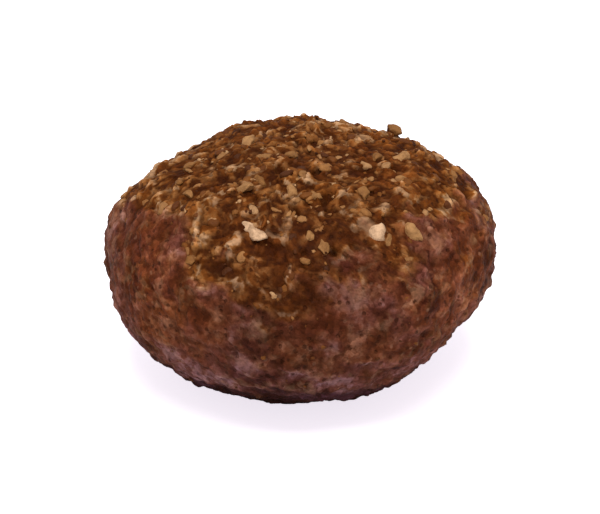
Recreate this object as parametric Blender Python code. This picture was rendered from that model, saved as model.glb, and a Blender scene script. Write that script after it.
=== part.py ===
"""One piece of dry pet food: a plump baked pellet, rounded like a small pillow, with a crumbly crust.

The pellet is one solid. It lies on its belly as it came to rest, with the belly's flat spot on the
plane z = 0. X runs across its longer side, Y across its shorter one, and Z points up. All sizes are
in metres. A direction on the pellet is given in degrees: its azimuth turns from +X towards +Y, and
its elevation rises from the rim to the crown.
"""

import math

import bmesh
import bpy
from mathutils import Vector, noise

# Overall size of the smooth pellet, before its crust swells or sinks.
LENGTH = 0.0143
WIDTH = 0.0133
THICKNESS = 0.0088

# How full the rounded outlines are. 2 is an ellipse, and a larger number is closer to a box.
PLAN_FULLNESS = 2.05
RIM_FULLNESS = 2.30

# The belly is pressed flat up to this height above its lowest point.
BELLY_PRESS = 0.00024

# The relief dies away towards the flat spot, over this height above the flat spot's plane.
BELLY_FADE = 0.0006

# Corners of the mesh this close to the flat spot's plane are moved onto it, so no slivers are left.
BELLY_SNAP = 0.00004

# The crust's relief: broad lumps, the crumbs that baked together, and the small pits between them.
LUMP_PITCH = 0.0040
LUMP_HEIGHT = 0.00028
CRUMB_PITCH = 0.00115
CRUMB_HEIGHT = 0.00034
PIT_PITCH = 0.0023
PIT_SHARE = 0.45
PIT_DEPTH = 0.00026

# Shares of a pitch: how wide the seam between two crumbs is, how far a pit reaches, and how far from
# the next place for a pit it ends.
SEAM_SHARE = 0.80
PIT_REACH = 0.50
PIT_MARGIN = 0.35

# Shares of the tallest crumb's height: the lowest crumb's, and the one that keeps the pellet's size.
LOWEST_CRUMB = 0.35
CRUMB_LEVEL = 0.25

# Noise bends the crumbs' outlines: the pitch of its waves, and how far they reach.
BEND_PITCH = 0.0016
BEND_REACH = 0.00030

# The side slid along the die and the belly was pressed, so their relief is only this share of the
# crown's. The side gives way to the crown where the way outward rises by this range of its length.
SIDE_RELIEF = 0.60
SIDE_SLOPE = (0.30, 0.65)

# Where the pellet swells or is dented: azimuth, elevation, reach in degrees, and height in metres.
SWELLS_AND_DENTS = (
    (60, 74, 26, -0.00030),
    (-26, -14, 40, -0.00098),
    (-24, -24, 12, -0.00018),
    (-116, -42, 22, 0.00010),
    (-84, -40, 22, -0.00012),
    (152, 28, 22, -0.00004),
    (172, 2, 24, 0.00030),
    (12, 6, 22, -0.00018),
    (52, 24, 18, -0.00032),
    (110, 38, 20, 0.00004),
    (-96, 30, 22, -0.00016),
    (110, -30, 36, -0.00024),
)

# The sphere that the pellet is shaped from is a cube's grid, this many squares along each edge.
GRID_STEPS = 22

CRUST_COLOUR = (0.165, 0.056, 0.021, 1.0)
CRUST_ROUGHNESS = 0.72


def direction_at(azimuth, elevation):
    """The unit vector at an azimuth and an elevation."""
    around = math.radians(azimuth)
    up = math.radians(elevation)
    return Vector(
        (
            math.cos(around) * math.cos(up),
            math.sin(around) * math.cos(up),
            math.sin(up),
        )
    )


def smooth_point(direction):
    """Where a ray from the centre meets the smooth pellet."""
    across = abs(direction.x) / (LENGTH / 2)
    along = abs(direction.y) / (WIDTH / 2)
    up = abs(direction.z) / (THICKNESS / 2)
    plan = (across**PLAN_FULLNESS + along**PLAN_FULLNESS) ** (1 / PLAN_FULLNESS)
    reach = (plan**RIM_FULLNESS + up**RIM_FULLNESS) ** (-1 / RIM_FULLNESS)
    return direction * reach


def outward(direction):
    """The way the crust swells: between the ray from the centre and the pellet's own normal."""
    return Vector(
        (
            direction.x / LENGTH,
            direction.y / WIDTH,
            direction.z / THICKNESS,
        )
    ).normalized()


def form_height(direction):
    """How far the broad swells and dents raise the crust, each one fading out over its reach."""
    height = 0.0
    for azimuth, elevation, reach, peak in SWELLS_AND_DENTS:
        apart = direction.angle(direction_at(azimuth, elevation), 0.0)
        height += peak * math.exp(-((apart / math.radians(reach)) ** 2))
    return height


def ease(value, low, high):
    """0 below low, 1 above high, and a smooth rise between them."""
    share = min(max((value - low) / (high - low), 0.0), 1.0)
    return share * share * (3 - 2 * share)


def draw_at(place):
    """A number from 0 to 1 that belongs to one cell of a pattern."""
    return (noise.cell(place) + 1) / 2


def crumb_relief(point):
    """Crumbs side by side, each with a height of its own, and a seam where two of them meet."""
    bent = point + noise.noise_vector(point / BEND_PITCH) * BEND_REACH
    distances, places = noise.voronoi(bent / CRUMB_PITCH)
    own_height = LOWEST_CRUMB + (1 - LOWEST_CRUMB) * draw_at(places[0])
    from_seam = ease(distances[1] - distances[0], 0.0, SEAM_SHARE)
    return CRUMB_HEIGHT * (from_seam * own_height - CRUMB_LEVEL)


def pit_relief(point):
    """Small rounded pits, in only a share of the places where one could be."""
    distances, places = noise.voronoi(point / PIT_PITCH)
    if draw_at(places[0]) > PIT_SHARE:
        return 0.0
    from_middle = min(distances[0] / PIT_REACH, 1.0)
    inside = ease(distances[1] - distances[0], 0.0, PIT_MARGIN)
    return -PIT_DEPTH * inside * (1.0 - from_middle**2) ** 2


def clear_of_belly(point):
    """0 where the belly is pressed flat, rising to 1 where the crust is free of the ground."""
    height = point.z + THICKNESS / 2 - BELLY_PRESS
    return min(max(height / BELLY_FADE, 0.0), 1.0)


def crust_point(direction):
    """The finished crust's point in one direction from the pellet's centre."""
    point = smooth_point(direction)
    way_out = outward(direction)
    kept = SIDE_RELIEF + (1 - SIDE_RELIEF) * ease(way_out.z, *SIDE_SLOPE)
    lumps = LUMP_HEIGHT * noise.noise(point / LUMP_PITCH)
    relief = lumps + kept * (crumb_relief(point) + pit_relief(point))
    rise = form_height(direction) + relief * clear_of_belly(point)
    return point + way_out * rise


def unit_sphere():
    """A cube whose gridded sides are blown up into a sphere, so its faces are all much alike."""
    sphere = bmesh.new()
    bmesh.ops.create_cube(sphere, size=2.0)
    bmesh.ops.subdivide_edges(
        sphere, edges=sphere.edges, cuts=GRID_STEPS - 1, use_grid_fill=True
    )
    for vertex in sphere.verts:
        square = vertex.co.copy()
        vertex.co = Vector(math.tan(part * math.pi / 4) for part in square).normalized()
    return sphere


def settle(shape):
    """Cuts the flat spot under the belly, and puts it on z = 0 with the pellet over the origin."""
    corners = [vertex.co for vertex in shape.verts]
    low = Vector(min(corner[axis] for corner in corners) for axis in range(3))
    high = Vector(max(corner[axis] for corner in corners) for axis in range(3))
    middle = (low + high) / 2
    to_rest = Vector((-middle.x, -middle.y, -low.z - BELLY_PRESS))
    bmesh.ops.translate(shape, verts=shape.verts, vec=to_rest)
    everything = [*shape.verts, *shape.edges, *shape.faces]
    bmesh.ops.bisect_plane(
        shape,
        geom=everything,
        dist=BELLY_SNAP,
        plane_co=(0, 0, 0),
        plane_no=(0, 0, -1),
        use_snap_center=True,
        clear_outer=True,
    )
    rim = [edge for edge in shape.edges if edge.is_boundary]
    bmesh.ops.edgeloop_fill(shape, edges=rim)


def pellet_mesh():
    """The sphere, moved point by point onto the pellet's crust and then settled on its belly."""
    shape = unit_sphere()
    for vertex in shape.verts:
        vertex.co = crust_point(vertex.co.normalized())
    settle(shape)
    bmesh.ops.recalc_face_normals(shape, faces=shape.faces)
    mesh = bpy.data.meshes.new("kibble")
    shape.to_mesh(mesh)
    shape.free()
    return mesh


def crust_material():
    """Baked, lightly greased dough."""
    material = bpy.data.materials.new("baked_crust")
    material.use_nodes = True
    shader = material.node_tree.nodes["Principled BSDF"]
    shader.inputs["Base Color"].default_value = CRUST_COLOUR
    shader.inputs["Roughness"].default_value = CRUST_ROUGHNESS
    shader.inputs["Metallic"].default_value = 0.0
    return material


def clear_scene():
    """Removes whatever the file opened with."""
    for obj in list(bpy.data.objects):
        bpy.data.objects.remove(obj)


def main():
    """Builds the pellet in a collection of its own."""
    clear_scene()
    collection = bpy.data.collections.new("dry_pet_food_piece")
    bpy.context.scene.collection.children.link(collection)
    kibble = bpy.data.objects.new("kibble", pellet_mesh())
    kibble.data.materials.append(crust_material())
    collection.objects.link(kibble)


main()
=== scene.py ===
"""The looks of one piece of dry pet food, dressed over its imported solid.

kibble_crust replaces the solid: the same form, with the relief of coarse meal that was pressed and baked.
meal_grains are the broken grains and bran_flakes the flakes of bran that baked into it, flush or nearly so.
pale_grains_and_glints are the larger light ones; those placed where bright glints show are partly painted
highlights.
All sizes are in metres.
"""

import math
import random

import bmesh
import bpy
from mathutils import Matrix, Vector, noise
from mathutils.bvhtree import BVHTree


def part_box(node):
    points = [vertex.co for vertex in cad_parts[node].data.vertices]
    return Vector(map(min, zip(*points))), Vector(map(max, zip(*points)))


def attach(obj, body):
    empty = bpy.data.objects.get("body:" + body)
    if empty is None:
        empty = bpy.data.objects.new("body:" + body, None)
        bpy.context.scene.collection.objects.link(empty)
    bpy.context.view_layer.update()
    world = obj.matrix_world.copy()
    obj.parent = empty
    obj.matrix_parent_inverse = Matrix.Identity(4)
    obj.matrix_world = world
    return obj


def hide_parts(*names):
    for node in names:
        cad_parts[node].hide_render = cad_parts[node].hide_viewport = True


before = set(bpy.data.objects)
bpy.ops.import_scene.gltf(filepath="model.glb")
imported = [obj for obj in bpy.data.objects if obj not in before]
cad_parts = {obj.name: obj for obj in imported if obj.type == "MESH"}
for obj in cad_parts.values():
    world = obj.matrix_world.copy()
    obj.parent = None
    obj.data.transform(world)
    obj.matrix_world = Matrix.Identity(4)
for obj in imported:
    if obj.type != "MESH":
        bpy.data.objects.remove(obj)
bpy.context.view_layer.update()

# The crust's mesh is a cube's grid blown up onto the solid, this many squares along each edge.
CRUST_GRID = 128
# Rounds of smoothing that take the solid's flat facets out of the crust before its relief goes on.
FACET_SMOOTHING = 6
# Rounds of smoothing that take the solid's crumbs out too, to tell how far each place stands proud.
CRUMB_SMOOTHING = 110
# A place is fully proud, or fully sunk, when the solid rises or falls by this much from its smooth form.
FULLY_PROUD = 0.00007
# The relief rises from this far below the solid's surface.
CRUST_SINK = 0.00005
# The relief dies away towards the ground, over this height.
GROUND_FADE = 0.0004

# Relief of the crust. A pitch is the usual distance between two like features.
WARP_PITCH = 0.0008
WARP_REACH = 0.00026
FINE_WARP_PITCH = 0.00028
FINE_WARP_REACH = 0.00007
CLUMP_PITCH = 0.00060
CLUMP_HEIGHT = 0.00015
GRAIN_PITCH = 0.00032
GRAIN_HEIGHT = 0.00008
GRIT_PITCH = 0.00016
GRIT_HEIGHT = 0.00002
PORE_PITCH = 0.00090
PORE_SHARE = 0.45
PORE_DEPTH = 0.00020
# A seam this wide, as a share of the pitch, runs between two clumps or two grains.
SEAM_SHARE = 0.50
# The lowest clump's and the lowest grain's height, as a share of the tallest one's.
LOWEST_CLUMP = 0.15
LOWEST_GRAIN = 0.20
# This share of the full height is taken off again, so that the crust stays near the solid's surface.
RELIEF_LEVEL = 0.40
# Above 1, low clumps are commoner than tall ones.
CLUMP_SKEW = 1.2
# Shares of the pores' pitch: how far a pore reaches, and how far from the next one's place it ends.
PORE_REACH = 0.32
PORE_MARGIN = 0.20
# The smallest pore's reach as a share of that, and what the largest one's adds to the share.
SMALLEST_PORE = 0.6
PORE_SPREAD = 0.8
# A pore is fully deep up to this share of its own reach.
PORE_BOTTOM = 0.35
# Shares of a place's tone: how tall its clump is, its clump's own tone, its grain's own tone, and how
# proud the solid is there.
CLUMP_HEIGHT_TONE = 0.24
CLUMP_OWN_TONE = 0.12
GRAIN_OWN_TONE = 0.42
PROUD_TONE = 0.22
# A hollow place is darkened, partly as the oilier meal's own colour and partly as painted shade.
# Shares of how hollow a place is: a seam between clumps, one between grains, a low clump, and how sunk
# the solid is there. On the side it is less hollow, by the last share.
CLUMP_SEAM_HOLLOW = 0.42
GRAIN_SEAM_HOLLOW = 0.28
LOW_CLUMP_HOLLOW = 0.18
SUNK_HOLLOW = 0.22
SIDE_HOLLOW_LOSS = 0.45
# The side of the pellet slid along the die, so its relief is only this share of the crown's, over low
# waves of dough.
SIDE_RELIEF = 0.52
DOUGH_PITCH = 0.00036
DOUGH_HEIGHT = 0.00010
# The crown's crumbly crust gives way to the side's over this range of the slope's upright part, and
# the belly's over the other one.
CROWN_SLOPE = (0.32, 0.64)
BELLY_SLOPE = (0.90, 0.99)
# How far noise pushes the edge between crown and side about, in the same measure, and its pitch.
SIDE_RAGGED = 0.34
SIDE_RAGGED_PITCH = 0.0018

# The side turns paler and pinker towards the underside, a painted light bounced from the floor, and the
# underside is darkened, a painted contact shadow where it faces the ground. Each change starts and ends
# where the way outward falls by these parts of its length.
UNDERSIDE_BOUNCE_SLOPE = (0.15, 0.40)
UNDERSIDE_SHADE_SLOPE = (0.56, 0.76)
UNDERSIDE_SHADE_STRENGTH = 2.0

# Broken grains of meal, and flakes of bran: how many are tried, and a grain's half width or a flake's
# half length.
GRAIN_COUNT = 1500
GRAIN_RADIUS_RANGE = (0.00006, 0.00024)
GRAIN_CUTS = 9
# A broken face lies this far from the grain's middle, as a share of its half size.
GRAIN_CUT_RANGE = (0.50, 0.90)
GRAIN_SEED = 11
# On the side this share of the grains is dropped, and the others are smaller and duller by these shares.
GRAIN_SIDE_LOSS = 0.70
GRAIN_SIDE_SHRINK = 0.5
GRAIN_SIDE_DULLING = 0.45
# Above 1, small ones are commoner than large ones.
GRAIN_SIZE_SKEW = 1.8
# A grain's half length and half height as shares of its half width.
GRAIN_LENGTH_RANGE = (1.0, 1.5)
GRAIN_FLATNESS_RANGE = (0.5, 0.8)
# How deep its middle is sunk, as a share of its half height, and what the side adds to that share.
GRAIN_SINK_RANGE = (0.20, 0.75)
GRAIN_SIDE_SINK = 0.15
# How far a grain leans about its length, in radians, as a standard deviation.
GRAIN_LEAN = 0.3
FLAKE_COUNT = 160
FLAKE_RADIUS_RANGE = (0.00014, 0.00032)
FLAKE_SEED = 5
FLAKE_SIZE_SKEW = 1.5
# The same measures of a flake, its width and flatness as shares of its half length.
FLAKE_WIDTH_RANGE = (0.25, 0.45)
FLAKE_FLATNESS_RANGE = (0.12, 0.22)
FLAKE_SINK_RANGE = (0.0, 0.6)
FLAKE_LEAN = 0.15
# Grains below this half width are made with fewer faces.
FINE_GRAIN_RADIUS = 0.00017
# Rounds of subdivision of the ball that a fine grain, a grain or flake, and a pale grain are cut from.
FINE_GRAIN_ROUNDS = 1
GRAIN_ROUNDS = 2
PALE_GRAIN_ROUNDS = 3
# The bright pale grains listed below are put where bright glints show, so they are partly painted
# highlights.
# The pale grains that stand out most: how far across and up from the piece's middle each is seen, its
# turn in degrees, half its length, half its width, and its tone.
PALE_GRAINS_AND_GLINTS = (
    (-0.0016, 0.0009, -62, 0.00076, 0.00030, 1.0),
    (0.0027, 0.0009, 80, 0.00042, 0.00040, 1.0),
    (0.0040, 0.0008, -45, 0.00050, 0.00026, 0.5),
    (0.0036, 0.0035, 50, 0.00044, 0.00024, 0.5),
    (-0.0018, 0.0040, 80, 0.00050, 0.00026, 0.5),
    (-0.0020, 0.0024, -30, 0.00050, 0.00024, 0.4),
    (-0.0003, 0.0022, 80, 0.00040, 0.00026, 0.4),
)
# Fainter ones lie anywhere on the crown: how many are tried, their half lengths, their half widths as
# a share of that, and the palest one's tone.
FAINT_COUNT = 70
FAINT_LENGTH_RANGE = (0.00024, 0.00038)
FAINT_WIDTH_RANGE = (0.55, 0.75)
FAINT_TONE = 0.35
# A pale grain's half height as a share of its half width, and how deep its middle is sunk as a share of
# its half height.
PALE_FLATNESS = 0.8
PALE_SINK = 0.12
# How far its surface is pushed about, and the pitch of that.
PALE_ROUGHNESS = 0.00007
PALE_ROUGHNESS_PITCH = 0.00022
# A pit is darkened through the hollow share, painted shade inside it.
# The darkest pits: across, up, reach, and how deep and dark each is, 1 at most.
DARK_PITS = (
    (0.0022, 0.0032, 0.00028, 1.0),
    (-0.0009, 0.0010, 0.00036, 0.9),
    (-0.0002, 0.0017, 0.00030, 0.9),
    (0.0010, 0.0002, 0.00036, 0.8),
)
DARK_PIT_DEPTH = 0.00018

# Colours of the grains and flakes by their tone, each stop a position and a linear colour.
GRAIN_TONES = (
    (0.0, (0.050, 0.012, 0.002)),
    (0.25, (0.130, 0.034, 0.005)),
    (0.55, (0.240, 0.078, 0.012)),
    (0.80, (0.400, 0.170, 0.050)),
    (1.0, (0.600, 0.340, 0.160)),
)
FLAKE_TONES = (
    (0.0, (0.240, 0.085, 0.016)),
    (0.6, (0.420, 0.190, 0.060)),
    (1.0, (0.600, 0.340, 0.160)),
)
PALE_TONES = (
    (0.0, (0.300, 0.125, 0.034)),
    (0.5, (0.500, 0.250, 0.095)),
    (1.0, (0.820, 0.510, 0.300)),
)

# The crust is lighter towards its two ends and along the top, and darker in the middle and below it,
# where the last number is below 0: across, up, reach and strength of each place.
TINTED_PLACES = (
    (0.0022, 0.0044, 0.0014, 0.4),
    (0.0050, 0.0025, 0.0016, 0.7),
    (-0.0054, -0.0006, 0.0018, 0.9),
    (0.0056, -0.0018, 0.0020, 1.1),
    (0.0010, 0.0006, 0.0014, -0.6),
    (-0.0018, -0.0010, 0.0016, -0.5),
    (-0.0003, -0.0024, 0.0026, -1.0),
)
# Places where the crown's crumbly crust reaches further down, or less far where the last number is
# below 0: across, up, reach, and by how much of the slope.
CRUMBLY_PLACES = (
    (-0.0012, -0.0010, 0.0019, 0.30),
    (0.0040, 0.0000, 0.0024, -0.40),
    (-0.0056, 0.0006, 0.0020, -0.50),
)

# The crust's colours by its tone, on the crown and on the side.
CROWN_TONES = (
    (0.0, (0.070, 0.014, 0.0005)),
    (0.28, (0.136, 0.034, 0.003)),
    (0.55, (0.245, 0.073, 0.012)),
    (0.80, (0.410, 0.165, 0.046)),
    (1.0, (0.620, 0.350, 0.180)),
)
SIDE_TONES = (
    (0.0, (0.050, 0.008, 0.003)),
    (0.35, (0.118, 0.027, 0.012)),
    (0.70, (0.205, 0.060, 0.030)),
    (1.0, (0.350, 0.145, 0.085)),
)
# Colours laid over them: pale specks on the side, redder patches, the hollows, darker partly as oilier meal
# and partly as painted shade, the pinholes, dark with painted shade, and the darker patches of a grain.
SIDE_SPECK_COLOUR = (0.340, 0.160, 0.100)
RED_PATCH_COLOUR = (0.215, 0.050, 0.010)
HOLLOW_OIL_AND_SHADE_COLOUR = (0.042, 0.008, 0.0004)
PINHOLE_SHADE_COLOUR = (0.040, 0.009, 0.002)
GRAIN_PATCH_COLOUR = (0.100, 0.031, 0.009)
# How strong each of them is at most.
SIDE_SPECK_STRENGTH = 0.55
RED_PATCH_STRENGTH = 0.30
HOLLOW_OIL_AND_SHADE_STRENGTH = 0.92
PINHOLE_SHADE_STRENGTH = 0.60
GRAIN_PATCH_STRENGTH = 0.55
# Colours that multiply what lies under them: the side's mauve patches, a painted sheen, the side towards
# the underside, a painted bounce light, and the places that are lighter or darker, with the underside's
# painted contact shadow.
MAUVE_SHEEN_TINT = (1.00, 1.14, 1.85)
UNDERSIDE_BOUNCE_TINT = (1.00, 1.05, 1.25)
LIGHTER_TINT = (1.45, 1.42, 1.28)
DARKER_AND_SHADE_TINT = (0.22, 0.16, 0.22)
MAUVE_SHEEN_STRENGTH = 0.85
# The tint at which a place is fully darkened, which the underside's painted shade reaches.
DARKEST_TINT_AND_SHADE = -2.0
# Pitches of the noise in the materials.
MOTTLE_PITCH = 0.0005
BROAD_PITCH = 0.0022
MIDDLING_PITCH = 0.0009
FINE_PITCH = 0.00028
MEAL_PITCH = 0.00017
MAUVE_PITCH = 0.0014
RED_PATCH_PITCH = 0.0034
SPECKLE_PITCH = 0.00012
ROUGH_PITCH = 0.00020
FINEST_PITCH = 0.00007
GRAIN_PATCH_PITCH = 0.00022
GRAIN_ROUGH_PITCH = 0.00010
# Most of the noise lies in this range.
NOISE_RANGE = (0.36, 0.64)
# Small round specks: their pitch, their reach as a share of it, and the share of places that hold one.
SIDE_SPECKS = (0.00034, 0.30, 0.24)
PINHOLES = (0.00026, 0.34, 0.40)
# The finest speckle makes a place darker or lighter by these factors.
SPECKLE_RANGE = (0.68, 1.32)
# Bumps finer than the mesh: how strong and how deep each is.
PINHOLE_BUMP = (0.7, 0.00005)
MEAL_BUMP = (0.6, 0.00006)
ROUGH_BUMP = (0.7, 0.00009)
FINEST_BUMP = (0.5, 0.00003)
GRAIN_BUMP = (0.7, 0.00007)
# The crust's roughness, from its glossiest to its dullest place, and its specular level.
CRUST_ROUGHNESS_RANGE = (0.52, 0.80)
CRUST_SPECULAR = 0.06
# The roughness and the specular level of the grains and flakes.
GRAIN_FINISH = (0.60, 0.15)
FLAKE_FINISH = (0.55, 0.20)
PALE_FINISH = (0.55, 0.12)

# The camera, at the photograph's angle, far off and with a long lens.
CAMERA_ELEVATION = 27.0
CAMERA_DISTANCE = 0.45
CAMERA_SENSOR = 36.0
CAMERA_CLIP_RANGE = (0.01, 10.0)
KIBBLE_SHARE_OF_FRAME = 0.66

# The studio.
FLOOR_SIZE = 3.0
# The floor lies this far below the flat spot, so that the two faces don't coincide.
FLOOR_GAP = 0.00001
FLOOR_WHITE = 0.86
FLOOR_LIFT = 0.81
FLOOR_LIFT_COLOUR = (0.98, 0.91, 1.0, 1.0)
SKY_LIGHT = 0.40
SOFTBOX_SIZE = 0.20
SOFTBOX_DISTANCE = 0.34
SOFTBOX_ELEVATION = 74.0
SOFTBOX_AZIMUTH = 0.0
SOFTBOX_LEVEL = 0.80


def ease(value, low, high):
    """0 below low, 1 above high, and a smooth rise between them."""
    share = min(max((value - low) / (high - low), 0.0), 1.0)
    return share * share * (3 - 2 * share)


def draw_at(place, turn=0):
    """A random number from 0 to 1 that belongs to one cell of a pattern."""
    shift = Vector((31.0, 17.0, 47.0)) * turn
    return (noise.cell(place + shift) + 1) / 2


def cube_sphere(steps):
    """A unit sphere blown up from a cube whose sides are gridded, so its faces are all much alike."""
    sphere = bmesh.new()
    bmesh.ops.create_cube(sphere, size=2.0)
    bmesh.ops.subdivide_edges(sphere, edges=sphere.edges, cuts=steps - 1, use_grid_fill=True)
    for vertex in sphere.verts:
        square = vertex.co.copy()
        vertex.co = Vector(math.tan(part * math.pi / 4) for part in square).normalized()
    return sphere


def smooth(shape, rounds):
    """Moves each vertex halfway to the middle of its neighbours, round after round."""
    for _ in range(rounds):
        bmesh.ops.smooth_vert(
            shape,
            verts=shape.verts,
            factor=0.5,
            use_axis_x=True,
            use_axis_y=True,
            use_axis_z=True,
        )


def wrapped_on_solid(solid):
    """A fine mesh that lies on the solid's surface, with the solid's facets smoothed out."""
    corners = [vertex.co for vertex in solid.data.vertices]
    faces = [face.vertices for face in solid.data.polygons]
    tree = BVHTree.FromPolygons(corners, faces)
    low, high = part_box(solid.name)
    centre = (low + high) / 2
    shape = cube_sphere(CRUST_GRID)
    for vertex in shape.verts:
        hit = tree.ray_cast(centre, vertex.co)[0]
        vertex.co = hit
    smooth(shape, FACET_SMOOTHING)
    bmesh.ops.recalc_face_normals(shape, faces=shape.faces)
    shape.normal_update()
    return shape


def how_proud(shape):
    """For each vertex, how far it stands out of the pellet's smooth form: 1 proud, -1 sunk."""
    places = [vertex.co.copy() for vertex in shape.verts]
    normals = [vertex.normal.copy() for vertex in shape.verts]
    smooth(shape, CRUMB_SMOOTHING)
    proud = []
    for vertex, place, normal in zip(shape.verts, places, normals):
        rise = (place - vertex.co).dot(normal) / FULLY_PROUD
        proud.append(min(max(rise, -1.0), 1.0))
        vertex.co = place
    shape.normal_update()
    return proud


def pattern_of_cells(point, pitch, seam):
    """Rounded cells side by side: how far up a cell's dome the point is, and where that cell lies."""
    distances, places = noise.voronoi(point / pitch)
    dome = ease(distances[1] - distances[0], 0.0, seam)
    return dome, places[0]


def pore_at(point):
    """1 inside a pore, 0 outside one. Only a share of the pattern's cells holds a pore."""
    distances, places = noise.voronoi(point / PORE_PITCH)
    if draw_at(places[0]) > PORE_SHARE:
        return 0.0
    reach = PORE_REACH * (SMALLEST_PORE + PORE_SPREAD * draw_at(places[0], 1))
    inside = ease(distances[1] - distances[0], 0.0, PORE_MARGIN)
    return inside * (1.0 - ease(distances[0], PORE_BOTTOM * reach, reach))


def strength_at(point, spots):
    """How strong a list of spots is at a point, each one fading out over its reach."""
    strength = 0.0
    for place, reach, peak in spots:
        strength += peak * math.exp(-((point - place).length_squared / reach**2))
    return strength


def relief_at(point, side, proud, pits):
    """The crust's height, its tone and how hollow it is at a point.

    side is 1 on the pellet's side. proud is how far the solid's own crumbs stand out there.
    """
    warp = noise.noise_vector(point / WARP_PITCH) * WARP_REACH
    fine_warp = noise.noise_vector(point / FINE_WARP_PITCH) * FINE_WARP_REACH
    warped = point + warp + fine_warp
    clump, clump_place = pattern_of_cells(warped, CLUMP_PITCH, SEAM_SHARE)
    grain, grain_place = pattern_of_cells(warped + warp, GRAIN_PITCH, SEAM_SHARE)
    clump_proud = draw_at(clump_place) ** CLUMP_SKEW
    grain_proud = draw_at(grain_place)
    pore = pore_at(warped)
    pit = min(strength_at(point + fine_warp, pits), 1.0)
    clump_top = LOWEST_CLUMP + (1 - LOWEST_CLUMP) * clump_proud
    grain_top = LOWEST_GRAIN + (1 - LOWEST_GRAIN) * grain_proud
    height = CLUMP_HEIGHT * (clump * clump_top - RELIEF_LEVEL)
    height += GRAIN_HEIGHT * (grain * grain_top - RELIEF_LEVEL)
    height -= PORE_DEPTH * pore
    height *= 1.0 + (SIDE_RELIEF - 1.0) * side
    height += DOUGH_HEIGHT * side * noise.noise((point + warp) / DOUGH_PITCH)
    height += GRIT_HEIGHT * noise.noise(point / GRIT_PITCH)
    height -= DARK_PIT_DEPTH * pit
    tone = CLUMP_HEIGHT_TONE * clump_proud + CLUMP_OWN_TONE * draw_at(clump_place, 2)
    tone += GRAIN_OWN_TONE * draw_at(grain_place, 3)
    tone += PROUD_TONE * (0.5 + 0.5 * proud)
    sunk = (1 - clump) * CLUMP_SEAM_HOLLOW + (1 - grain) * GRAIN_SEAM_HOLLOW
    sunk += (1 - clump_proud) * LOW_CLUMP_HOLLOW
    sunk -= SUNK_HOLLOW * proud
    hollow = min(max(pore, sunk), 1.0) * (1.0 - SIDE_HOLLOW_LOSS * side)
    return height, tone, max(hollow, pit)


def side_share(point, normal, crumbly):
    """1 on the pellet's side, 0 on the crown and around the flat spot, with a ragged edge."""
    ragged = SIDE_RAGGED * noise.noise(point / SIDE_RAGGED_PITCH)
    crown = ease(normal.z + ragged + strength_at(point, crumbly), *CROWN_SLOPE)
    belly = ease(-normal.z, *BELLY_SLOPE)
    return 1.0 - max(crown, belly)


def float_attribute(mesh, name, values):
    """A number for each vertex, which the materials read by its name."""
    attribute = mesh.attributes.new(name, "FLOAT", "POINT")
    attribute.data.foreach_set("value", values)


def seen_from_camera(tree, middle, across, up):
    """The point of the surface that the camera sees there, its normal, and the screen's two axes."""
    eye = spot_at(middle, 0, CAMERA_ELEVATION, CAMERA_DISTANCE)
    ahead = (middle - eye).normalized()
    right = ahead.cross(Vector((0, 0, 1))).normalized()
    upward = right.cross(ahead)
    place, normal, _, _ = tree.ray_cast(eye + right * across + upward * up, ahead)
    return place, normal, right, upward


def seen_spots(tree, middle, places):
    """Spots on the surface, each with its point, its reach and its strength."""
    spots = []
    for across, up, reach, strength in places:
        spots.append((seen_from_camera(tree, middle, across, up)[0], reach, strength))
    return spots


def make_crust(solid, middle):
    """The pellet's baked surface, and for each vertex its smooth normal and how far it is a side."""
    shape = wrapped_on_solid(solid)
    tree = BVHTree.FromBMesh(shape)
    tinted = seen_spots(tree, middle, TINTED_PLACES)
    crumbly = seen_spots(tree, middle, CRUMBLY_PLACES)
    pits = seen_spots(tree, middle, DARK_PITS)
    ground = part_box(solid.name)[0].z
    tones, hollows, sides, tints_and_shade, unders, normals, moved = [], [], [], [], [], [], []
    for vertex, proud in zip(shape.verts, how_proud(shape)):
        side = side_share(vertex.co, vertex.normal, crumbly)
        height, tone, hollow = relief_at(vertex.co, side, proud, pits)
        rise = vertex.co.z - ground
        place = vertex.co + vertex.normal * (height - CRUST_SINK) * ease(rise, 0.0, GROUND_FADE)
        place.z = max(place.z, ground)
        moved.append(place)
        normals.append(vertex.normal.copy())
        tones.append(tone)
        hollows.append(hollow)
        sides.append(side)
        # Painted shade: the underside is darkened as a painted contact shadow where it faces the ground.
        underside_shade = UNDERSIDE_SHADE_STRENGTH * ease(-vertex.normal.z, *UNDERSIDE_SHADE_SLOPE)
        tints_and_shade.append(strength_at(vertex.co, tinted) - underside_shade)
        # Painted bounce light: how far a place faces down, which makes it paler and pinker.
        unders.append(ease(-vertex.normal.z, *UNDERSIDE_BOUNCE_SLOPE))
    for vertex, place in zip(shape.verts, moved):
        vertex.co = place
    mesh = bpy.data.meshes.new("kibble_crust")
    shape.to_mesh(mesh)
    shape.free()
    mesh.shade_smooth()
    float_attribute(mesh, "tone", tones)
    float_attribute(mesh, "hollow", hollows)
    float_attribute(mesh, "side", sides)
    float_attribute(mesh, "tint_and_shade", tints_and_shade)
    float_attribute(mesh, "under", unders)
    crust = bpy.data.objects.new("kibble_crust", mesh)
    bpy.context.scene.collection.objects.link(crust)
    return crust, normals, sides


def broken_grain(rng, half_sizes, subdivisions):
    """One broken grain about its own middle: a ball with flat faces cut on it, then sized."""
    cuts = []
    for _ in range(GRAIN_CUTS):
        cuts.append((any_way(rng), rng.uniform(*GRAIN_CUT_RANGE)))
    blob = bmesh.new()
    bmesh.ops.create_icosphere(blob, subdivisions=subdivisions, radius=1.0)
    for vertex in blob.verts:
        for way, depth in cuts:
            past = vertex.co.dot(way) - depth
            if past > 0:
                vertex.co -= way * past
        vertex.co = Vector(part * half for part, half in zip(vertex.co, half_sizes))
    return blob


def roughen(blob, reach, seed_place):
    """Gives a grain a crumbly surface of its own."""
    for vertex in blob.verts:
        vertex.co += noise.noise_vector((vertex.co + seed_place) / PALE_ROUGHNESS_PITCH) * reach


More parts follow.
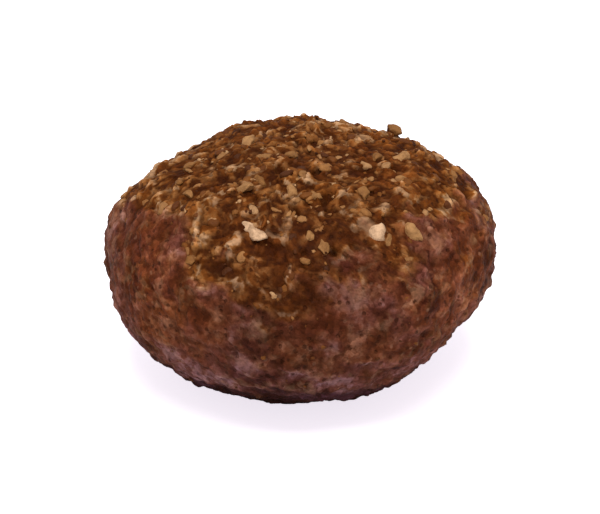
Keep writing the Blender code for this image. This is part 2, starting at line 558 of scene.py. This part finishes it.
class Scatter:
    """Many small closed shapes gathered in one mesh, each with a tone of its own."""

    def __init__(self, name, ground):
        self.name = name
        self.ground = ground
        self.corners, self.faces, self.tones = [], [], []

    def add(self, blob, placed, tone):
        """Puts one shape in place, unless it would reach into the ground."""
        start = len(self.corners)
        corners = [placed @ vertex.co for vertex in blob.verts]
        if min(corner.z for corner in corners) > self.ground:
            self.corners.extend(corners)
            self.tones.extend([tone] * len(corners))
            self.faces.extend([start + v.index for v in face.verts] for face in blob.faces)
        blob.free()

    def finish(self):
        """The gathered shapes as one object."""
        mesh = bpy.data.meshes.new(self.name)
        mesh.from_pydata(self.corners, [], self.faces)
        mesh.shade_smooth()
        float_attribute(mesh, "tone", self.tones)
        piece = bpy.data.objects.new(self.name, mesh)
        bpy.context.scene.collection.objects.link(piece)
        return piece


def seated(place, normal, along, tilt, sink):
    """Where a grain goes: flat on the crust, its length along a direction, tilted a little and sunk."""
    length = (along - normal * along.dot(normal)).normalized()
    turn = Matrix((length, normal.cross(length), normal)).transposed().to_4x4()
    return Matrix.Translation(place - normal * sink) @ turn @ Matrix.Rotation(tilt, 4, "X")


def any_way(rng):
    """A random direction."""
    return Vector((rng.gauss(0, 1), rng.gauss(0, 1), rng.gauss(0, 1))).normalized()


def make_grains(crust, normals, sides, ground):
    """Broken grains, sunk by half or more into the crust, with fewer and smaller ones on the side."""
    rng = random.Random(GRAIN_SEED)
    scatter = Scatter("meal_grains", ground)
    vertices = crust.data.vertices
    small, large = GRAIN_RADIUS_RANGE
    for _ in range(GRAIN_COUNT):
        index = rng.randrange(len(vertices))
        side = sides[index]
        if rng.random() < GRAIN_SIDE_LOSS * side:
            continue
        kept = 1.0 - GRAIN_SIDE_SHRINK * side
        radius = small + (large - small) * kept * rng.random() ** GRAIN_SIZE_SKEW
        half_length = radius * rng.uniform(*GRAIN_LENGTH_RANGE)
        half_height = radius * rng.uniform(*GRAIN_FLATNESS_RANGE)
        rounds = FINE_GRAIN_ROUNDS if radius < FINE_GRAIN_RADIUS else GRAIN_ROUNDS
        blob = broken_grain(rng, (half_length, radius, half_height), rounds)
        sink = half_height * (rng.uniform(*GRAIN_SINK_RANGE) + GRAIN_SIDE_SINK * side)
        along = any_way(rng)
        placed = seated(vertices[index].co, normals[index], along, rng.gauss(0, GRAIN_LEAN), sink)
        scatter.add(blob, placed, rng.random() * (1.0 - GRAIN_SIDE_DULLING * side))
    return scatter.finish()


def make_flakes(crust, normals, sides, ground):
    """Thin long flakes of bran, lying in the crust of the crown and around the flat spot."""
    rng = random.Random(FLAKE_SEED)
    scatter = Scatter("bran_flakes", ground)
    vertices = crust.data.vertices
    small, large = FLAKE_RADIUS_RANGE
    for _ in range(FLAKE_COUNT):
        index = rng.randrange(len(vertices))
        if rng.random() < sides[index]:
            continue
        half_length = small + (large - small) * rng.random() ** FLAKE_SIZE_SKEW
        half_width = half_length * rng.uniform(*FLAKE_WIDTH_RANGE)
        half_height = half_length * rng.uniform(*FLAKE_FLATNESS_RANGE)
        blob = broken_grain(rng, (half_length, half_width, half_height), GRAIN_ROUNDS)
        sink = half_height * rng.uniform(*FLAKE_SINK_RANGE)
        along = any_way(rng)
        placed = seated(vertices[index].co, normals[index], along, rng.gauss(0, FLAKE_LEAN), sink)
        scatter.add(blob, placed, rng.random())
    return scatter.finish()


def add_pale_grain(scatter, rng, spot, along, half_sizes, tone):
    """One crumbly pale grain, barely sunk at a spot, which is a place and the crust's normal there."""
    place, normal = spot
    blob = broken_grain(rng, half_sizes, PALE_GRAIN_ROUNDS)
    roughen(blob, PALE_ROUGHNESS, place)
    scatter.add(blob, seated(place, normal, along, 0.0, half_sizes[2] * PALE_SINK), tone)


def make_pale_grains_and_glints(crust, normals, sides, middle, ground):
    """The pale grains that stand out, each where it is seen, partly painted highlights where glints show,
    and fainter ones anywhere on the crown.
    """
    rng = random.Random(GRAIN_SEED)
    scatter = Scatter("pale_grains_and_glints", ground)
    vertices = crust.data.vertices
    tree = BVHTree.FromPolygons(
        [vertex.co for vertex in vertices],
        [face.vertices for face in crust.data.polygons],
    )
    for across, up, turn, half_length, half_width, tone in PALE_GRAINS_AND_GLINTS:
        place, normal, right, upward = seen_from_camera(tree, middle, across, up)
        along = right * math.cos(math.radians(turn)) + upward * math.sin(math.radians(turn))
        half_sizes = (half_length, half_width, half_width * PALE_FLATNESS)
        add_pale_grain(scatter, rng, (place, normal), along, half_sizes, tone)
    for _ in range(FAINT_COUNT):
        index = rng.randrange(len(vertices))
        if rng.random() < sides[index] or normals[index].z < 0:
            continue
        half_length = rng.uniform(*FAINT_LENGTH_RANGE)
        half_width = half_length * rng.uniform(*FAINT_WIDTH_RANGE)
        half_sizes = (half_length, half_width, half_width * PALE_FLATNESS)
        spot = (vertices[index].co, normals[index])
        add_pale_grain(scatter, rng, spot, any_way(rng), half_sizes, FAINT_TONE * rng.random())
    return scatter.finish()


class Shader:
    """A material's node tree, with short calls that add nodes and join them."""

    def __init__(self, name):
        self.material = bpy.data.materials.new(name)
        self.material.use_nodes = True
        self.tree = self.material.node_tree
        self.surface = self.tree.nodes["Principled BSDF"]

    def add(self, kind, settings=(), inputs=()):
        """A new node, with its own settings and the values or sockets of its inputs."""
        new = self.tree.nodes.new(kind)
        for key, value in dict(settings).items():
            setattr(new, key, value)
        for key, value in dict(inputs).items():
            self.feed(new.inputs[key], value)
        return new

    def feed(self, socket, value):
        """Joins a socket to another one, or sets its value."""
        if isinstance(value, bpy.types.NodeSocket):
            self.tree.links.new(value, socket)
        else:
            socket.default_value = value

    def place(self):
        """The point on the object, in metres."""
        return self.add("ShaderNodeTexCoord").outputs["Object"]

    def attribute(self, name):
        """A vertex's own number."""
        return self.add("ShaderNodeAttribute", {"attribute_name": name}).outputs["Fac"]

    def clouds(self, pitch, detail=3.0, rough=0.55):
        """Soft noise from 0 to 1 with that pitch."""
        inputs = {"Vector": self.place(), "Scale": 1 / pitch, "Detail": detail, "Roughness": rough}
        return self.add("ShaderNodeTexNoise", inputs=inputs).outputs["Fac"]

    def cells(self, pitch, output="Distance"):
        """The distance to the nearest of many scattered points, or another output of that pattern."""
        inputs = {"Vector": self.place(), "Scale": 1 / pitch}
        return self.add("ShaderNodeTexVoronoi", inputs=inputs).outputs[output]

    def maths(self, operation, first, second):
        """Arithmetic on two numbers."""
        sum_node = self.add("ShaderNodeMath", {"operation": operation})
        self.feed(sum_node.inputs[0], first)
        self.feed(sum_node.inputs[1], second)
        return sum_node.outputs[0]

    def blend_of(self, *parts):
        """The sum of several numbers, each one times its weight."""
        total = 0.0
        for weight, value in parts:
            total = self.maths("ADD", total, self.maths("MULTIPLY", value, weight))
        return total

    def spread(self, value, low, high, to_low=0.0, to_high=1.0):
        """A number stretched from one range to another, and held inside it."""
        inputs = {"Value": value, "From Min": low, "From Max": high, "To Min": to_low, "To Max": to_high}
        return self.add("ShaderNodeMapRange", inputs=inputs).outputs["Result"]

    def ramp(self, value, stops):
        """Colours along a number, each stop a position and a linear colour."""
        ramp = self.add("ShaderNodeValToRGB", inputs={"Fac": value})
        elements = ramp.color_ramp.elements
        while len(elements) < len(stops):
            elements.new(0.5)
        for element, (position, colour) in zip(elements, stops):
            element.position = position
            element.color = (*colour, 1.0)
        return ramp.outputs["Color"]

    def grey(self, value):
        """A grey of that level, which may be above 1."""
        inputs = {"Red": value, "Green": value, "Blue": value}
        return self.add("ShaderNodeCombineColor", inputs=inputs).outputs["Color"]

    def mix(self, share, first, second, blend="MIX"):
        """Two colours mixed, the second one by that share."""
        mixer = self.add("ShaderNodeMix", {"data_type": "RGBA", "blend_type": blend})
        for key, value in (("Factor_Float", share), ("A_Color", first), ("B_Color", second)):
            socket = next(s for s in mixer.inputs if s.identifier == key)
            if isinstance(value, tuple):
                value = (*value, 1.0)
            self.feed(socket, value)
        return next(s for s in mixer.outputs if s.identifier == "Result_Color")

    def bump(self, height, strength, distance, under=None):
        """A bump from a height, on top of another one."""
        inputs = {"Height": height, "Strength": strength, "Distance": distance}
        if under is not None:
            inputs["Normal"] = under
        return self.add("ShaderNodeBump", inputs=inputs).outputs["Normal"]


def specks(shader, pitch, reach, share):
    """1 on small round specks, 0 between them. Only that share of a pattern's places holds one."""
    chosen = shader.spread(shader.cells(pitch, "Color"), share, share + 0.02, 1.0, 0.0)
    near = shader.spread(shader.cells(pitch), 0.6 * reach, reach, 1.0, 0.0)
    return shader.maths("MULTIPLY", chosen, near)


def crust_material():
    """Baked meal: golden brown clumps, seams and pores darkened by oilier meal and painted shade, redder
    sides with a painted sheen and bounce light, and a painted contact shadow below.
    """
    shader = Shader("baked_crust")
    tone = shader.attribute("tone")
    hollow = shader.attribute("hollow")
    side = shader.attribute("side")
    tint_and_shade = shader.attribute("tint_and_shade")
    under = shader.attribute("under")
    mottle = shader.clouds(MOTTLE_PITCH, 5.0, 0.65)
    crown_tone = shader.blend_of((0.70, tone), (0.50, mottle))
    crown = shader.ramp(shader.spread(crown_tone, 0.37, 0.81), CROWN_TONES)
    broad = shader.spread(shader.clouds(BROAD_PITCH, 1.0, 0.4), *NOISE_RANGE)
    middling = shader.spread(shader.clouds(MIDDLING_PITCH, 2.0, 0.5), *NOISE_RANGE)
    fine = shader.spread(shader.clouds(FINE_PITCH, 4.0, 0.7), *NOISE_RANGE)
    meal = shader.cells(MEAL_PITCH, "Color")
    side_tone = shader.blend_of((0.26, broad), (0.34, middling), (0.14, fine), (0.14, meal), (0.12, tone))
    sides = shader.ramp(shader.spread(side_tone, 0.26, 0.74), SIDE_TONES)
    # Painted sheen: a bluish tint in random mauve patches on the side, and towards the underside.
    patchy = shader.spread(shader.clouds(MAUVE_PITCH, 2.0), 0.44, 0.60, 0.0, MAUVE_SHEEN_STRENGTH)
    painted_sheen = shader.maths("MAXIMUM", patchy, under)
    sheened_sides = shader.mix(painted_sheen, sides, MAUVE_SHEEN_TINT, "MULTIPLY")
    # Painted light bounced from the floor makes the side paler and pinker towards the underside.
    bounce_lit_sides = shader.mix(under, sheened_sides, UNDERSIDE_BOUNCE_TINT, "MULTIPLY")
    pale_specks = shader.maths("MULTIPLY", specks(shader, *SIDE_SPECKS), SIDE_SPECK_STRENGTH)
    speckled_sides = shader.mix(pale_specks, bounce_lit_sides, SIDE_SPECK_COLOUR)
    side_mix = shader.spread(tone, 0.0, 1.0, 0.97, 0.80)
    dough = shader.mix(shader.maths("MULTIPLY", side, side_mix), crown, speckled_sides)
    patches = shader.spread(shader.clouds(RED_PATCH_PITCH, 2.0), 0.44, 0.66)
    redder = shader.mix(shader.maths("MULTIPLY", patches, RED_PATCH_STRENGTH), dough, RED_PATCH_COLOUR)
    lighter = shader.mix(shader.spread(tint_and_shade, 0.0, 1.0), redder, LIGHTER_TINT, "MULTIPLY")
    # The darker places, and on the underside a painted contact shadow.
    darker_and_shaded = shader.mix(shader.spread(tint_and_shade, 0.0, DARKEST_TINT_AND_SHADE), lighter, DARKER_AND_SHADE_TINT, "MULTIPLY")
    # Painted shade, partly oilier meal: the seams, pores, pits and sunk places are darkened.
    shaded = shader.mix(shader.spread(hollow, 0.12, 0.80, 0.0, HOLLOW_OIL_AND_SHADE_STRENGTH), darker_and_shaded, HOLLOW_OIL_AND_SHADE_COLOUR)
    # Painted shade: the pinholes are holes only of bump, darkened as the shade inside them.
    pinholes = specks(shader, *PINHOLES)
    pricked = shader.mix(shader.maths("MULTIPLY", pinholes, PINHOLE_SHADE_STRENGTH), shaded, PINHOLE_SHADE_COLOUR)
    flecks = shader.blend_of((0.6, shader.clouds(SPECKLE_PITCH, 2.0)), (0.4, meal))
    speckle = shader.spread(flecks, 0.25, 0.75, *SPECKLE_RANGE)
    speckled = shader.mix(1.0, pricked, shader.grey(speckle), "MULTIPLY")
    shader.feed(shader.surface.inputs["Base Color"], speckled)
    roughness = shader.spread(mottle, 0.3, 0.7, *CRUST_ROUGHNESS_RANGE)
    shader.feed(shader.surface.inputs["Roughness"], roughness)
    shader.surface.inputs["Specular IOR Level"].default_value = CRUST_SPECULAR
    pricks = shader.bump(shader.maths("SUBTRACT", 1.0, pinholes), *PINHOLE_BUMP)
    domes = shader.bump(shader.maths("SUBTRACT", 1.0, shader.cells(MEAL_PITCH)), *MEAL_BUMP, pricks)
    rough = shader.bump(shader.clouds(ROUGH_PITCH, 4.0, 0.65), *ROUGH_BUMP, domes)
    finest = shader.bump(shader.clouds(FINEST_PITCH, 2.0, 0.6), *FINEST_BUMP, rough)
    shader.feed(shader.surface.inputs["Normal"], finest)
    return shader.material


def grain_material(name, stops, roughness, specular):
    """Bits of meal baked into the crust, each with its own tone, and darker in patches."""
    shader = Shader(name)
    colour = shader.ramp(shader.attribute("tone"), stops)
    mottle = shader.clouds(GRAIN_PATCH_PITCH, 4.0, 0.65)
    patches = shader.spread(mottle, 0.42, 0.72, 0.0, GRAIN_PATCH_STRENGTH)
    uneven = shader.mix(patches, colour, GRAIN_PATCH_COLOUR)
    shader.feed(shader.surface.inputs["Base Color"], uneven)
    shader.surface.inputs["Roughness"].default_value = roughness
    shader.surface.inputs["Specular IOR Level"].default_value = specular
    fine = shader.bump(shader.clouds(GRAIN_ROUGH_PITCH, 3.0, 0.6), *GRAIN_BUMP)
    shader.feed(shader.surface.inputs["Normal"], fine)
    return shader.material


def floor_material():
    """White, lifted a little where the camera sees it, so that it is as white as the photo's ground."""
    shader = Shader("studio_floor")
    surface = shader.surface
    surface.inputs["Base Color"].default_value = (FLOOR_WHITE, FLOOR_WHITE, FLOOR_WHITE, 1.0)
    surface.inputs["Roughness"].default_value = 1.0
    surface.inputs["Specular IOR Level"].default_value = 0.0
    surface.inputs["Emission Color"].default_value = FLOOR_LIFT_COLOUR
    seen = shader.add("ShaderNodeLightPath").outputs["Is Camera Ray"]
    shader.feed(surface.inputs["Emission Strength"], shader.maths("MULTIPLY", seen, FLOOR_LIFT))
    return shader.material


def make_floor():
    """The ground the piece lies on."""
    shape = bmesh.new()
    bmesh.ops.create_grid(shape, x_segments=1, y_segments=1, size=FLOOR_SIZE / 2)
    mesh = bpy.data.meshes.new("floor")
    shape.to_mesh(mesh)
    shape.free()
    mesh.materials.append(floor_material())
    floor = bpy.data.objects.new("floor", mesh)
    floor.location.z = -FLOOR_GAP
    bpy.context.scene.collection.objects.link(floor)


def spot_at(target, azimuth, elevation, distance):
    """A place seen from the target at that azimuth and elevation. Azimuth 0 is in front, towards -Y."""
    around = math.radians(azimuth)
    up = math.radians(elevation)
    offset = Vector(
        (
            -math.sin(around) * math.cos(up),
            -math.cos(around) * math.cos(up),
            math.sin(up),
        )
    )
    return target + offset * distance


def aim(obj, place, target):
    """Puts a lamp or camera at a place, looking at the target."""
    obj.location = place
    obj.rotation_euler = (target - place).to_track_quat("-Z", "Y").to_euler()


def make_softbox(target):
    """A large soft lamp overhead, a little to the front."""
    lamp = bpy.data.lights.new("softbox", "AREA")
    lamp.size = SOFTBOX_SIZE
    lamp.energy = SOFTBOX_LEVEL * math.pi**2 * SOFTBOX_DISTANCE**2
    softbox = bpy.data.objects.new("softbox", lamp)
    bpy.context.scene.collection.objects.link(softbox)
    place = spot_at(target, SOFTBOX_AZIMUTH, SOFTBOX_ELEVATION, SOFTBOX_DISTANCE)
    aim(softbox, place, target)


def make_sky():
    """White surroundings: full white where they are seen, straight or through glass, and softer as light
    and in reflections.
    """
    world = bpy.data.worlds.new("studio")
    world.use_nodes = True
    tree = world.node_tree
    background = tree.nodes["Background"]
    background.inputs["Color"].default_value = (1.0, 1.0, 1.0, 1.0)
    path = tree.nodes.new("ShaderNodeLightPath")
    seen = tree.nodes.new("ShaderNodeMath")
    seen.operation = "MAXIMUM"
    tree.links.new(path.outputs["Is Camera Ray"], seen.inputs[0])
    tree.links.new(path.outputs["Is Transmission Ray"], seen.inputs[1])
    level = tree.nodes.new("ShaderNodeMapRange")
    level.inputs["To Min"].default_value = SKY_LIGHT
    level.inputs["To Max"].default_value = 1.0
    tree.links.new(seen.outputs[0], level.inputs["Value"])
    tree.links.new(level.outputs["Result"], background.inputs["Strength"])
    bpy.context.scene.world = world


def make_camera(target, width):
    """The photograph's view of the piece, filling most of the frame."""
    camera_data = bpy.data.cameras.new("camera")
    camera_data.sensor_width = CAMERA_SENSOR
    camera_data.lens = CAMERA_SENSOR * CAMERA_DISTANCE * KIBBLE_SHARE_OF_FRAME / width
    camera_data.clip_start, camera_data.clip_end = CAMERA_CLIP_RANGE
    camera = bpy.data.objects.new("camera", camera_data)
    bpy.context.scene.collection.objects.link(camera)
    aim(camera, spot_at(target, 0, CAMERA_ELEVATION, CAMERA_DISTANCE), target)
    bpy.context.scene.camera = camera


def ride(piece, material):
    """Gives a piece its material, and lets it ride with the pellet."""
    piece.data.materials.append(material)
    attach(piece, "root")


def main():
    """Dresses the solid, then builds the studio around it."""
    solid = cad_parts["kibble"]
    low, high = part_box("kibble")
    middle = (low + high) / 2
    crust, normals, sides = make_crust(solid, middle)
    ride(crust, crust_material())
    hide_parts("kibble")
    meal_grains = make_grains(crust, normals, sides, low.z)
    ride(meal_grains, grain_material("meal_grains", GRAIN_TONES, *GRAIN_FINISH))
    bran_flakes = make_flakes(crust, normals, sides, low.z)
    ride(bran_flakes, grain_material("bran_flakes", FLAKE_TONES, *FLAKE_FINISH))
    pale_grains_and_glints = make_pale_grains_and_glints(crust, normals, sides, middle, low.z)
    ride(pale_grains_and_glints, grain_material("pale_grains_and_glints", PALE_TONES, *PALE_FINISH))
    make_floor()
    make_softbox(middle)
    make_sky()
    make_camera(middle, high.x - low.x)
    bpy.context.scene.view_settings.view_transform = "Standard"


main()
